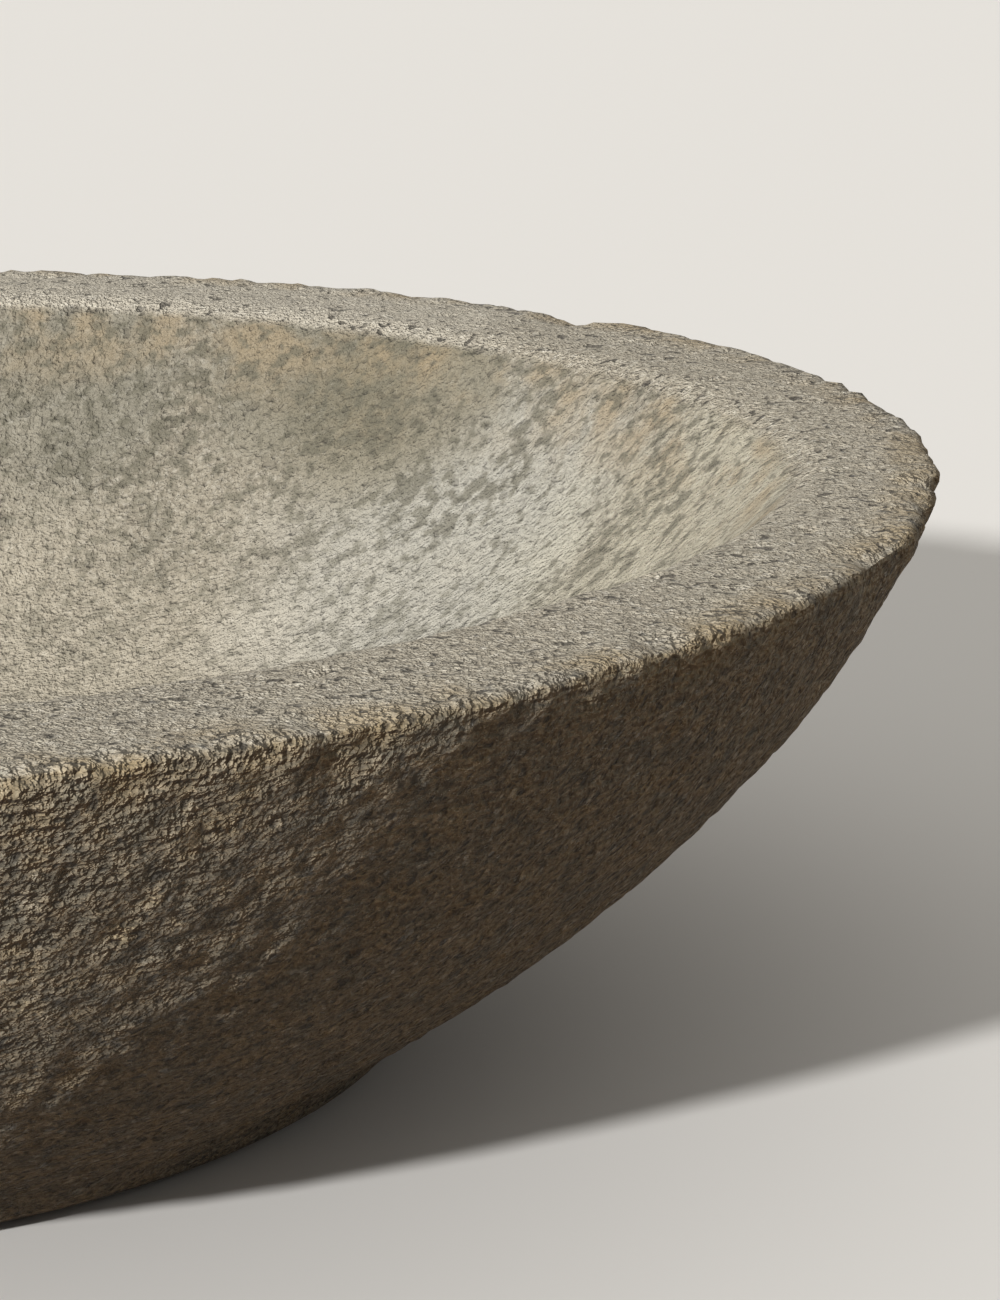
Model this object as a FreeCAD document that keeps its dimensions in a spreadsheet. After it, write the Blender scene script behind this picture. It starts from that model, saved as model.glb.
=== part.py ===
import FreeCAD, Part
import math
import os
import Sketcher

# A low round planter bowl of cast stone. The bowl is one casting with a sloped foot, a flaring wall, a flat
# lip and a dished planting hollow. A plastic sleeve lines the drain hole in its floor, a rubber plug shuts
# the sleeve from inside, and rubber pads keep the foot off the surface. Z is the bowl's axis and points up,
# with the origin on that axis, on the surface that the pads stand on.

# Driving sizes in millimetres, angles in degrees
SIZES = {
    # Outside of the bowl
    "rim_diameter": 420.0,
    "rim_height": 100.0,
    "wall_start_angle": 29.44,
    "foot_diameter": 236.0,
    "foot_height": 8.5,
    "foot_flare": 8.0,
    # Lip and planting hollow
    "lip_width": 34.0,
    "lip_edge": 6.5,
    "floor_thickness": 28.5,
    "floor_diameter": 190.0,
    "hollow_bulge": 7.0,
    # Worn and moulded edges of the stone
    "lip_outer_round": 5.0,
    "lip_inner_round": 10.0,
    "foot_round": 2.0,
    "foot_blend": 12.0,
    "floor_blend": 80.0,
    # Sleeve in the drain hole
    "bore_diameter": 26.0,
    "sleeve_wall": 3.0,
    "flange_diameter": 50.0,
    "flange_thickness": 3.0,
    "bore_chamfer": 0.8,
    "bond_gap": 0.2,
    # Plug that shuts the sleeve
    "plug_gap": 0.3,
    "plug_length": 18.0,
    "plug_chamfer": 1.5,
    "rib_height": 0.7,
    "rib_width": 2.4,
    "rib_pitch": 5.0,
    "rib_setback": 4.0,
    "cap_diameter": 38.0,
    "cap_thickness": 3.5,
    "cap_round": 1.2,
    "tab_width": 22.0,
    "tab_height": 18.0,
    "tab_crown": 7.0,
    "tab_thickness": 5.0,
    "tab_round": 0.8,
    # Pads under the foot
    "pad_diameter": 30.0,
    "pad_thickness": 4.0,
    "pad_proud": 1.5,
    "pad_gap": 0.3,
    "pad_round": 0.6,
    "pad_inset": 26.0,
    "first_pad_angle": 45.0,
}
PAD_COUNT = 4
RIB_COUNT = 2
FULL_TURN = 360.0
ROUND_LIMIT_SHARE = 0.8


class Length:
    """A length worked out from the sheet: its value now, and the expression that follows the sheet."""

    def __init__(self, value, expression):
        self.value = value
        self.expression = expression

    def joined(self, sign, other, value):
        text = other.expression if isinstance(other, Length) else repr(other)
        return Length(value, f"({self.expression} {sign} {text})")

    def __add__(self, other):
        return self.joined("+", other, self.value + number(other))

    def __sub__(self, other):
        return self.joined("-", other, self.value - number(other))

    def __mul__(self, other):
        return self.joined("*", other, self.value * number(other))

    def __truediv__(self, other):
        return self.joined("/", other, self.value / number(other))

    def limited_by(self, wall):
        """This round, or the share of the wall it is cut from that leaves the wall an edge."""
        most = wall * ROUND_LIMIT_SHARE
        return Length(min(self.value, most.value), f"min({self.expression}; {most.expression})")

    def __neg__(self):
        return Length(-self.value, f"(0 - {self.expression})")


def number(length):
    return length.value if isinstance(length, Length) else length


def size(name):
    return Length(SIZES[name], f"Sizes.{name}")


def along(angle, distance):
    """The X and Y reach of a distance laid off at an angle from +X."""
    turn = math.radians(angle.value)
    reach = []
    for name, share in (("cos", math.cos(turn)), ("sin", math.sin(turn))):
        expression = f"({distance.expression} * {name}({angle.expression} * 1 deg))"
        reach.append(Length(distance.value * share, expression))
    return reach


def write_sheet(doc):
    sheet = doc.addObject("Spreadsheet::Sheet", "Sizes")
    for row, (name, value) in enumerate(SIZES.items(), start=1):
        sheet.set(f"A{row}", name)
        sheet.set(f"B{row}", str(value))
        sheet.setAlias(f"B{row}", name)
    doc.recompute()


def new_body(doc, label):
    body = doc.addObject("PartDesign::Body", label)
    body.Label = label
    return body


def new_sketch(body, name, role):
    """An empty sketch on one of the body's own origin planes."""
    sketch = body.newObject("Sketcher::SketchObject", name)
    plane = next(item for item in body.Origin.OriginFeatures if item.Role == role)
    sketch.AttachmentSupport = (plane, "")
    sketch.MapMode = "FlatFace"
    return sketch


def bind(sketch, constraint, length):
    """Adds a dimension and ties it to the sheet."""
    index = sketch.addConstraint(constraint)
    sketch.setExpression(f"Constraints[{index}]", length.expression)


def pin_point(sketch, curve, end, place):
    """Ties a point's distances from the sketch's origin to the sheet."""
    for kind, axis, length in (("DistanceX", -2, place[0]), ("DistanceY", -1, place[1])):
        if not isinstance(length, Length):
            sketch.addConstraint(Sketcher.Constraint("PointOnObject", curve, end, axis))
        elif length.value < 0:
            bind(sketch, Sketcher.Constraint(kind, curve, end, -1, 1, -length.value), -length)
        else:
            bind(sketch, Sketcher.Constraint(kind, -1, 1, curve, end, length.value), length)


def bulge_leaving_at(angle, start, end):
    """How far an arc between two corners bulges when it leaves the first at an angle to the ground."""
    across = end[0] - start[0]
    up = end[1] - start[1]
    half_turn = (math.atan2(up.value, across.value) - math.radians(angle.value)) / 2
    value = math.hypot(across.value, up.value) * math.tan(half_turn) / 2
    chord = f"hypot({across.expression}; {up.expression})"
    slope = f"atan2({up.expression}; {across.expression})"
    return Length(value, f"({chord} * tan(({slope} - {angle.expression} * 1 deg) / 2) / 2)")


def bowed_side(start, end, bulge, outward):
    """The arc that stands a bulge away from the straight line between two corners, and its radius."""
    across = end[0] - start[0]
    up = end[1] - start[1]
    radius = ((across * across + up * up) / 4 + bulge * bulge) / (bulge * 2)
    chord = math.hypot(across.value, up.value)
    side = 1 if outward else -1
    right = (side * up.value / chord, -side * across.value / chord)
    reach = radius.value - bulge.value
    middle = FreeCAD.Vector(
        (start[0].value + end[0].value) / 2 - right[0] * reach,
        (start[1].value + end[1].value) / 2 - right[1] * reach,
        0,
    )
    first, last = (start, end) if outward else (end, start)
    angles = [math.atan2(p[1].value - middle.y, p[0].value - middle.x) for p in (first, last)]
    circle = Part.Circle(middle, FreeCAD.Vector(0, 0, 1), radius.value)
    return Part.ArcOfCircle(circle, *angles), radius


def closed_outline(sketch, corners, bowed=None):
    """Draws corners anticlockwise as a closed outline. bowed maps a side's number to its (bulge, outward)."""
    bowed = bowed or {}
    ends = []
    for side, start in enumerate(corners):
        end = corners[(side + 1) % len(corners)]
        if side in bowed:
            bulge, outward = bowed[side]
            arc, radius = bowed_side(start, end, bulge, outward)
            curve = sketch.addGeometry(arc, False)
            bind(sketch, Sketcher.Constraint("Radius", curve, radius.value), radius)
            ends.append((curve, 1, 2) if outward else (curve, 2, 1))
        else:
            points = [FreeCAD.Vector(number(p[0]), number(p[1]), 0) for p in (start, end)]
            curve = sketch.addGeometry(Part.LineSegment(*points), False)
            ends.append((curve, 1, 2))
    for side, (curve, _, last) in enumerate(ends):
        following, its_first, _ = ends[(side + 1) % len(ends)]
        sketch.addConstraint(Sketcher.Constraint("Coincident", curve, last, following, its_first))
    for (curve, first, _), corner in zip(ends, corners):
        pin_point(sketch, curve, first, corner)


def circle_at(sketch, place, diameter):
    centre = FreeCAD.Vector(number(place[0]), number(place[1]), 0)
    circle = Part.Circle(centre, FreeCAD.Vector(0, 0, 1), diameter.value / 2)
    curve = sketch.addGeometry(circle, False)
    bind(sketch, Sketcher.Constraint("Diameter", curve, diameter.value), diameter)
    pin_point(sketch, curve, 3, place)


def turned(body, name, corners, bowed=None):
    """A solid of revolution about Z, from an outline of (radius, height) corners."""
    sketch = new_sketch(body, f"{name}Outline", "XZ_Plane")
    closed_outline(sketch, corners, bowed)
    feature = body.newObject("PartDesign::Revolution", name)
    feature.Profile = sketch
    feature.ReferenceAxis = (sketch, ["V_Axis"])
    feature.Angle = FULL_TURN
    body.Document.recompute()
    return feature


def ring_edge(feature, radius, height):
    """The name of the circular edge about Z with this radius, at this height."""
    for index, edge in enumerate(feature.Shape.Edges, start=1):
        if not isinstance(edge.Curve, Part.Circle):
            continue
        off_radius = abs(edge.Curve.Radius - number(radius))
        off_height = abs(edge.Curve.Center.z - number(height))
        if math.isclose(off_radius + off_height, 0, abs_tol=Part.Precision.confusion()):
            return f"Edge{index}"
    raise ValueError(f"{feature.Label} has no ring of radius {number(radius)} at height {number(height)}")


def dress(body, kind, name, base, edges, length):
    """A fillet or a chamfer on edges of the last feature."""
    feature = body.newObject(f"PartDesign::{kind}", name)
    feature.Base = (base, edges)
    feature.setExpression("Radius" if kind == "Fillet" else "Size", length.expression)
    body.Document.recompute()
    return feature


# Places that several pieces share
bore_radius = size("bore_diameter") / 2
sleeve_radius = bore_radius + size("sleeve_wall")
flange_radius = size("flange_diameter") / 2
underside = size("pad_proud")
floor_height = underside + size("floor_thickness")
flange_seat = floor_height - size("flange_thickness")
foot_radius = size("foot_diameter") / 2
pad_circle_radius = foot_radius - size("pad_inset")


def make_stone_bowl(doc):
    """The casting: foot, wall, lip, planting hollow, stepped drain hole and sockets for the pads."""
    body = new_body(doc, "stone_bowl")
    hole_radius = sleeve_radius + size("bond_gap")
    recess_radius = flange_radius + size("bond_gap")
    wall_start_radius = foot_radius + size("foot_flare")
    wall_start_height = underside + size("foot_height")
    rim_radius = size("rim_diameter") / 2
    rim_height = size("rim_height")
    wall_end_height = rim_height - size("lip_edge")
    lip_radius = rim_radius - size("lip_width")
    floor_radius = size("floor_diameter") / 2
    corners = [
        (hole_radius, underside),
        (foot_radius, underside),
        (wall_start_radius, wall_start_height),
        (rim_radius, wall_end_height),
        (rim_radius, rim_height),
        (lip_radius, rim_height),
        (floor_radius, floor_height),
        (recess_radius, floor_height),
        (recess_radius, flange_seat),
        (hole_radius, flange_seat),
    ]
    wall_side, hollow_side = 2, 5
    wall_bulge = bulge_leaving_at(size("wall_start_angle"), corners[wall_side], corners[wall_side + 1])
    bowed = {wall_side: (wall_bulge, True), hollow_side: (size("hollow_bulge"), False)}
    casting = turned(body, "Casting", corners, bowed)

    worn_edges = [
        ("LipOuterRound", rim_radius, rim_height, size("lip_outer_round").limited_by(size("lip_edge"))),
        ("LipInnerRound", lip_radius, rim_height, size("lip_inner_round")),
        ("FloorBlend", floor_radius, floor_height, size("floor_blend")),
        ("FootBlend", wall_start_radius, wall_start_height, size("foot_blend")),
        ("FootRound", foot_radius, underside, size("foot_round")),
    ]
    for name, radius, height, round_radius in worn_edges:
        casting = dress(body, "Fillet", name, casting, [ring_edge(casting, radius, height)], round_radius)

    sketch = new_sketch(body, "SocketOutline", "XY_Plane")
    socket_diameter = size("pad_diameter") + size("pad_gap") * 2
    circle_at(sketch, along(size("first_pad_angle"), pad_circle_radius), socket_diameter)
    socket = body.newObject("PartDesign::Pocket", "Socket")
    socket.Profile = sketch
    socket.Reversed = True
    socket.setExpression("Length", size("pad_thickness").expression)
    doc.recompute()
    sockets = body.newObject("PartDesign::PolarPattern", "Sockets")
    sockets.Originals = [socket]
    sockets.Axis = (sketch, ["N_Axis"])
    sockets.Angle = FULL_TURN
    sockets.Occurrences = PAD_COUNT
    body.Tip = sockets
    doc.recompute()
    if sockets.Shape.Volume >= casting.Shape.Volume:
        raise ValueError("the pad sockets cut nothing")
    return body


def make_drain_sleeve(doc):
    """The flanged sleeve, flush with the floor of the hollow and with the underside of the foot."""
    body = new_body(doc, "drain_sleeve")
    corners = [
        (bore_radius, underside),
        (sleeve_radius, underside),
        (sleeve_radius, flange_seat),
        (flange_radius, flange_seat),
        (flange_radius, floor_height),
        (bore_radius, floor_height),
    ]
    tube = turned(body, "Tube", corners)
    mouths = [ring_edge(tube, bore_radius, height) for height in (floor_height, underside)]
    dress(body, "Chamfer", "BoreChamfer", tube, mouths, size("bore_chamfer"))
    return body


def make_drain_plug(doc):
    """The stopper: a ribbed shank in the bore, a cap that lies on the flange, and a tab to pinch."""
    body = new_body(doc, "drain_plug")
    shank_radius = bore_radius - size("plug_gap") - size("rib_height")
    cap_radius = size("cap_diameter") / 2
    shank_end = floor_height - size("plug_length")
    cap_top = floor_height + size("cap_thickness")

    corners = [(0, shank_end), (shank_radius, shank_end)]
    bowed = {}
    for rib in range(RIB_COUNT):
        rib_start = shank_end + size("rib_setback") + size("rib_pitch") * rib
        bowed[len(corners)] = (size("rib_height"), True)
        corners += [(shank_radius, rib_start), (shank_radius, rib_start + size("rib_width"))]
    corners += [
        (shank_radius, floor_height),
        (cap_radius, floor_height),
        (cap_radius, cap_top),
        (0, cap_top),
    ]
    stopper = turned(body, "Stopper", corners, bowed)
    nose = ring_edge(stopper, shank_radius, shank_end)
    stopper = dress(body, "Chamfer", "NoseChamfer", stopper, [nose], size("plug_chamfer"))
    cap_edge = ring_edge(stopper, cap_radius, cap_top)
    dress(body, "Fillet", "CapRound", stopper, [cap_edge], size("cap_round"))

    # The tab is rooted halfway down the cap and has a crowned top
    tab_side = size("tab_width") / 2
    tab_root = floor_height + size("cap_thickness") / 2
    shoulder = cap_top + size("tab_height") - size("tab_crown")
    tab_corners = [(-tab_side, tab_root), (tab_side, tab_root), (tab_side, shoulder), (-tab_side, shoulder)]
    crown_side = 2
    sketch = new_sketch(body, "TabOutline", "XZ_Plane")
    closed_outline(sketch, tab_corners, {crown_side: (size("tab_crown"), True)})
    tab = body.newObject("PartDesign::Pad", "Tab")
    tab.Profile = sketch
    tab.SideType = "Symmetric"
    tab.setExpression("Length", size("tab_thickness").expression)
    doc.recompute()

    half_thickness = number(size("tab_thickness")) / 2
    slack = Part.Precision.confusion()
    face_edges = []
    for index, edge in enumerate(tab.Shape.Edges, start=1):
        box = edge.BoundBox
        flat = box.YLength < slack
        on_face = math.isclose(abs(box.YMin), half_thickness, abs_tol=slack)
        if flat and on_face and box.ZMax > cap_top.value + slack:
            face_edges.append(f"Edge{index}")
    dress(body, "Fillet", "TabRound", tab, face_edges, size("tab_round"))
    return body


def make_foot_pad(doc, index):
    """A round pad in its socket, standing proud of the foot."""
    body = new_body(doc, f"foot_pad_{index + 1}")
    pad_radius = size("pad_diameter") / 2
    pad_top = size("pad_thickness")
    disc = turned(body, "Disc", [(0, 0), (pad_radius, 0), (pad_radius, pad_top), (0, pad_top)])
    dress(body, "Fillet", "PadRound", disc, [ring_edge(disc, pad_radius, 0)], size("pad_round"))
    place = along(size("first_pad_angle") + index * FULL_TURN / PAD_COUNT, pad_circle_radius)
    body.setExpression("Placement.Base.x", place[0].expression)
    body.setExpression("Placement.Base.y", place[1].expression)
    return body


doc = FreeCAD.newDocument("stone_planter")
write_sheet(doc)
pieces = [make_stone_bowl(doc), make_drain_sleeve(doc), make_drain_plug(doc)]
pieces += [make_foot_pad(doc, index) for index in range(PAD_COUNT)]
doc.recompute()

for item in doc.Objects:
    if "Invalid" in item.State or "Error" in item.State:
        raise RuntimeError(f"{item.Label} failed: {item.State}")
for piece in pieces:
    if piece.Shape.isNull() or not piece.Shape.isValid() or len(piece.Shape.Solids) != 1:
        raise RuntimeError(f"{piece.Label} is not one sound solid")

os.makedirs("parts", exist_ok=True)
for piece in pieces:
    piece.Shape.exportStep(f"parts/{piece.Label}.step")
    box = piece.Shape.BoundBox
    print(f"{piece.Label}: {piece.Shape.Volume / 1000:.2f} cm3, z {box.ZMin:.2f} to {box.ZMax:.2f} mm")
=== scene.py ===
# %% [markdown]
# This is a low planter bowl of cast stone, as it looks after some years of use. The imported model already
# holds its construction: the stone casting, the plastic sleeve in its drain hole, the rubber plug and the
# four pads under the foot. One could model all of it anew and fit it together. This lesson keeps the packed
# model as its frame and only makes what the eye sees, in the same place and at the same size, so nothing
# has to be fitted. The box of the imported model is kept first, because the dressed bowl has to stay inside.

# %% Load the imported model
import math

import bmesh
import bpy
from mathutils import Matrix, Vector, noise


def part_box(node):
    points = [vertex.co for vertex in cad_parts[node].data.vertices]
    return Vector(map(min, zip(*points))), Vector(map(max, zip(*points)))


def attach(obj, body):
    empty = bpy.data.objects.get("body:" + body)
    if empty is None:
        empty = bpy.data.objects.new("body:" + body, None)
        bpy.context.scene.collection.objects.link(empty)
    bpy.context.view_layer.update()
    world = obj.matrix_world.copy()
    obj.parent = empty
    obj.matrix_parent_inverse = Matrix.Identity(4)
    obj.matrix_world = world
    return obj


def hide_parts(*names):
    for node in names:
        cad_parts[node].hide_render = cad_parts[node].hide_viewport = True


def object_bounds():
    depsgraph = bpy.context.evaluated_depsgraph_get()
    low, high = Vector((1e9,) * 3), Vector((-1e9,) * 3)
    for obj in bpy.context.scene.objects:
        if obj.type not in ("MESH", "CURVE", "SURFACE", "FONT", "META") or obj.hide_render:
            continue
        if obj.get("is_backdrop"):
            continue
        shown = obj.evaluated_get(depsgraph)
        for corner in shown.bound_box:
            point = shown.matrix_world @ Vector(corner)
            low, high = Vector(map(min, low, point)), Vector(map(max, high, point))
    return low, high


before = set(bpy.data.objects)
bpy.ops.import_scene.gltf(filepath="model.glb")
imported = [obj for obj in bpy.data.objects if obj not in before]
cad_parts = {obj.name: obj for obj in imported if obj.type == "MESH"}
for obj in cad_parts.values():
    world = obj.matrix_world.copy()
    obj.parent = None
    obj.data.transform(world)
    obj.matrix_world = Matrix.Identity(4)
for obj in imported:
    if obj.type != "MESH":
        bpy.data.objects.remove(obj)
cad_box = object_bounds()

print("pieces in the packed model:", ", ".join(sorted(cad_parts)))

# %% [markdown]
# The bowl is drawn in millimetres, because that is how a mould maker talks about it. Its sizes could be typed
# in again, but then two lists would have to agree. So every size that another piece depends on is read from
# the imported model: the rim, the underside of the foot, the floor of the hollow, which is level with the
# sleeve's flange, and later on the pads.

# %% Read the sizes that the stone has to keep
MM = 0.001
bowl_low, bowl_high = [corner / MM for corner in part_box("stone_bowl")]
sleeve_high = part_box("drain_sleeve")[1] / MM
rim_radius = bowl_high.x
rim_height = bowl_high.z
underside = bowl_low.z
floor_height = sleeve_high.z
flange_radius = sleeve_high.x
print(f"rim {2 * rim_radius:.0f} mm across and {rim_height:.0f} mm high, floor at {floor_height:.0f} mm")

# %% [markdown]
# The casting is round, so half of its section is drawn once and turned about the axis, as a template is
# turned in a mould. A section drawn by eye would be a long list of points. Here it is a few corners, and
# the outline is carried from one to the next by extruding its last vertex and moving it: by a shift on
# straight stretches, and by a small turn about the centre of the arc where the wall and the hollow bow.
# Room for the weights of each zone is made before the first point, because it can't be added safely later.

# %% Tools for drawing the section
ZONES = ("wall", "lip", "hollow", "coarse", "sandy", "pitted", "edge", "brink", "still")
section = bmesh.new()
zone = {name: section.verts.layers.float.new(name) for name in ZONES}
outline = []


def carry_on(pieces, move):
    """Extrudes the outline's last vertex again and again by the same small move."""
    for _ in range(pieces):
        made = bmesh.ops.extrude_vert_indiv(section, verts=[outline[-1]])["verts"]
        bmesh.ops.transform(section, matrix=move, verts=made)
        outline.extend(made)


def line_to(radius, height, pieces):
    """A straight stretch."""
    step = (Vector((radius, 0, height)) - outline[-1].co) / pieces
    carry_on(pieces, Matrix.Translation(step))


def bow_to(radius, height, bulge, pieces):
    """An arc that stands a bulge off the straight line.

    It bows to the right of the way it runs, or to the left if the bulge is negative.
    """
    start, end = outline[-1].co.copy(), Vector((radius, 0, height))
    chord = end - start
    right = Vector((chord.z, 0, -chord.x)).normalized()
    arc_radius = (chord.length_squared / 4 + bulge * bulge) / (2 * bulge)
    centre = (start + end) / 2 - right * (arc_radius - bulge)
    turn = 2 * math.asin(chord.length / 2 / arc_radius)
    about = Matrix.Rotation(-turn / pieces, 4, "Y")
    carry_on(pieces, Matrix.Translation(centre) @ about @ Matrix.Translation(-centre))


print("each point of the section has room for", len(ZONES), "weights")

# %% [markdown]
# From the ground up, the outside is a narrow foot, a short flare, the wall, which leans out far and bulges a
# little, and a low upright edge under the flat lip. The wall and the lip get many points, because their
# crumbs will be real geometry.

# %% Draw the outside, from the foot to the lip
FOOT_RADIUS = 118.0
FOOT_INSET = 6.0    # the ring of the foot that lies flat
FOOT_FLARE = 8.0    # how far the foot widens up to the wall
FOOT_HEIGHT = 8.5
WALL_BULGE = 8.0
LIP_EDGE = 3.0
LIP_WIDTH = 34.0
RELIEF_ROOM = 0.3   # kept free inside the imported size, for grains that stand out

lip_radius = rim_radius - LIP_WIDTH
edge_radius = rim_radius - RELIEF_ROOM
lip_height = rim_height - RELIEF_ROOM
outline.append(section.verts.new((FOOT_RADIUS - FOOT_INSET, 0, underside)))
line_to(FOOT_RADIUS, underside, pieces=3)
line_to(FOOT_RADIUS + FOOT_FLARE, underside + FOOT_HEIGHT, pieces=6)
bow_to(edge_radius, rim_height - LIP_EDGE, WALL_BULGE, pieces=66)
line_to(edge_radius, lip_height, pieces=3)
line_to(lip_radius, lip_height, pieces=20)
outside_count = len(outline)
print(f"{outside_count} points on the outside and the lip")

# %% [markdown]
# The inside is a dished hollow with a broad floor. In the middle a recess takes the sleeve's flange, and the
# drain hole goes down through the foot. A thin gap all round is where the real sleeve is bonded in.

# %% Draw the inside, from the lip to the drain hole
FLOOR_RADIUS = 95.0
HOLLOW_BULGE = 7.0
STILL_RADIUS = 34.0  # the ring round the sleeve that stays smooth
FLANGE_THICKNESS = 3.0
SLEEVE_RADIUS = 16.0
BOND_GAP = 0.2

recess_radius = flange_radius + BOND_GAP
hole_radius = SLEEVE_RADIUS + BOND_GAP
bow_to(FLOOR_RADIUS, floor_height, -HOLLOW_BULGE, pieces=38)
line_to(STILL_RADIUS, floor_height, pieces=8)
line_to(recess_radius, floor_height, pieces=2)
line_to(recess_radius, floor_height - FLANGE_THICKNESS, pieces=1)
line_to(hole_radius, floor_height - FLANGE_THICKNESS, pieces=1)
line_to(hole_radius, underside, pieces=2)
print(f"{len(outline) - outside_count} points on the inside, down to a hole of radius {hole_radius:.1f} mm")

# %% [markdown]
# Which part of the section a point lies on decides how rough it is and what colour it weathers to. Painting
# the finished bowl by hand would do that too, but not the same way twice. So each point gets its weights
# before the section is turned, and the turning copies them all round. Wall, lip and hollow say which face
# it is, coarse, sandy and pitted how strong the crumbs, the sand and the pores are, edge and brink how
# near the two corners of the lip are, and still where the surface stays smooth for the sleeve and the foot.

# %% Mark the zones of the section
TOUCH = 0.01  # nearer than this counts as on the line
SURFACES = {
    "wall": {"coarse": 1.0, "sandy": 1.0, "pitted": 0.6},
    "lip": {"coarse": 0.25, "sandy": 1.0, "pitted": 0.7},
    "hollow": {"coarse": 0.3, "sandy": 0.5, "pitted": 0.22},
}
EDGE_REACH = 14.0
BRINK_INWARD, BRINK_DOWN = 3.0, 5.0
BRINK_REACH = {"wall": 1.0, "lip": 7.0, "hollow": 22.0}
DRAIN_REACH, FOOT_REACH = 12.0, 7.0
edge_corner = Vector((edge_radius, 0, lip_height))
brink_corner = Vector((lip_radius - BRINK_INWARD, 0, lip_height - BRINK_DOWN))


def fade(distance, reach):
    """One up to no distance, and smoothly nothing from the reach on."""
    near = min(1.0, max(0.0, 1.0 - distance / reach))
    return near * near * (3 - 2 * near)


for number, vert in enumerate(outline):
    on_outside = number < outside_count
    on_lip = on_outside and vert.co.z > lip_height - TOUCH
    on_floor = not on_outside and vert.co.z < floor_height + TOUCH
    surface = "lip" if on_lip else "wall" if on_outside else "hollow"
    vert[zone[surface]] = 1.0
    for name, value in SURFACES[surface].items():
        vert[zone[name]] = value
    vert[zone["edge"]] = fade((vert.co - edge_corner).length, EDGE_REACH)
    vert[zone["coarse"]] = max(vert[zone["coarse"]], vert[zone["edge"]])
    vert[zone["brink"]] = fade((vert.co - brink_corner).length, BRINK_REACH[surface])
    near_drain = fade(vert.co.x - STILL_RADIUS, DRAIN_REACH)
    vert[zone["still"]] = near_drain if on_floor else fade(vert.co.z - underside, FOOT_REACH)
for name in ZONES:
    print(f"{name}: {sum(vert[zone[name]] > 0.5 for vert in outline)} points of the section")

# %% [markdown]
# No corner of an old casting is sharp. A bevel would give each the same clean round. Here each is worn down by
# smoothing the points round it a number of times, which is how rain and hands do it: a few times for the
# hard edge of the foot, many for the soft roll into the hollow and the broad floor.

# %% Wear the corners down
WORN_CORNERS = (  # radius, height, reach of the wear, times smoothed
    (FOOT_RADIUS, underside, 5.0, 2),
    (FOOT_RADIUS + FOOT_FLARE, underside + FOOT_HEIGHT, 9.0, 6),
    (edge_radius, lip_height, 7.0, 4),
    (lip_radius, lip_height, 10.0, 7),
    (FLOOR_RADIUS, floor_height, 32.0, 30),
)
SMOOTHING = 0.5
for radius, height, reach, passes in WORN_CORNERS:
    corner = Vector((radius, 0, height))
    worn = [vert for vert in outline[1:-1] if (vert.co - corner).length < reach]
    for _ in range(passes):
        bmesh.ops.smooth_vert(section, verts=worn, factor=SMOOTHING, use_axis_x=True, use_axis_z=True)
    print(f"corner at radius {radius:.0f} and height {height:.0f} mm: {len(worn)} points worn")

# %% [markdown]
# Now the section is turned about the axis, as the mould maker's template was. One long spin is slow, because
# each step goes through all that was made before, so only one sector is spun. The wall and the lip show every
# crumb, so they get twice as many steps as the hollow, and the section is parted at the brink for that.

# %% Spin one sector of the bowl
OUTSIDE_STEPS = 768
INSIDE_STEPS = OUTSIDE_STEPS // 2
SECTORS = 8


def spin_sector(verts, steps):
    """Turns one stretch of the section through the first sector."""
    kept = set(verts)
    edges = [edge for edge in section.edges if kept.issuperset(edge.verts)]
    bmesh.ops.spin(section, geom=list(verts) + edges, cent=(0, 0, 0), axis=(0, 0, 1), dvec=(0, 0, 0),
                   angle=2 * math.pi / SECTORS, steps=steps // SECTORS, use_merge=False)


outside, inside = outline[:outside_count], outline[outside_count:]
joining = next(edge for edge in outside[-1].link_edges if inside[0] in edge.verts)
section.edges.remove(joining)
spin_sector(outside, OUTSIDE_STEPS)
spin_sector(inside, INSIDE_STEPS)
print(f"one sector of {SECTORS}: {len(section.faces)} faces")

# %% [markdown]
# The rest of the bowl is copies. The sector is copied and turned, twice as much each time, until the ring is
# whole, and its seams are merged. A finer and a coarser ring of edges are then left open at the brink, and a
# bridge closes the gap between them.

# %% Copy the sector all round
SEAM = 0.001  # points nearer than this are one
bowl = section
sectors = 1
while sectors < SECTORS:
    copied = bmesh.ops.duplicate(bowl, geom=bowl.verts[:] + bowl.edges[:] + bowl.faces[:])["geom"]
    verts = [item for item in copied if isinstance(item, bmesh.types.BMVert)]
    turned = Matrix.Rotation(2 * math.pi * sectors / SECTORS, 3, "Z")
    bmesh.ops.rotate(bowl, verts=verts, matrix=turned)
    sectors *= 2
bmesh.ops.remove_doubles(bowl, verts=bowl.verts, dist=SEAM)
lip_rings = [edge for edge in bowl.edges if edge.is_boundary and edge.verts[0].co.z > floor_height]
bmesh.ops.bridge_loops(bowl, edges=lip_rings)
bmesh.ops.recalc_face_normals(bowl, faces=bowl.faces)
bowl.normal_update()
print(f"turned bowl: {len(bowl.verts)} points, {len(bowl.faces)} faces")

# %% [markdown]
# A hand-made mould is never quite round. The rim of this bowl has flats where the edge was knocked or rubbed
# down, and its hollow is a little wider on one side. Moving points by hand would leave dents. Each unevenness
# is one smooth swell instead: where round the rim it lies, how far it spreads and how deep it is.

# %% Swells round the rim
RIM_FLATS = (  # degrees round the rim, spread in degrees, depth in millimetres
    (42.0, 6.0, -1.8),
    (-10.0, 12.0, -0.6),
    (-41.0, 6.0, -0.9),
    (118.0, 18.0, -1.6),
    (165.0, 9.0, -1.2),
    (-118.0, 15.0, -2.0),
    (-160.0, 10.0, -1.0),
)
HOLLOW_SWELLS = (
    (-1.0, 27.0, 10.5),
    (-62.0, 22.0, -3.0),
    (150.0, 40.0, 4.0),
)


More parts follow.
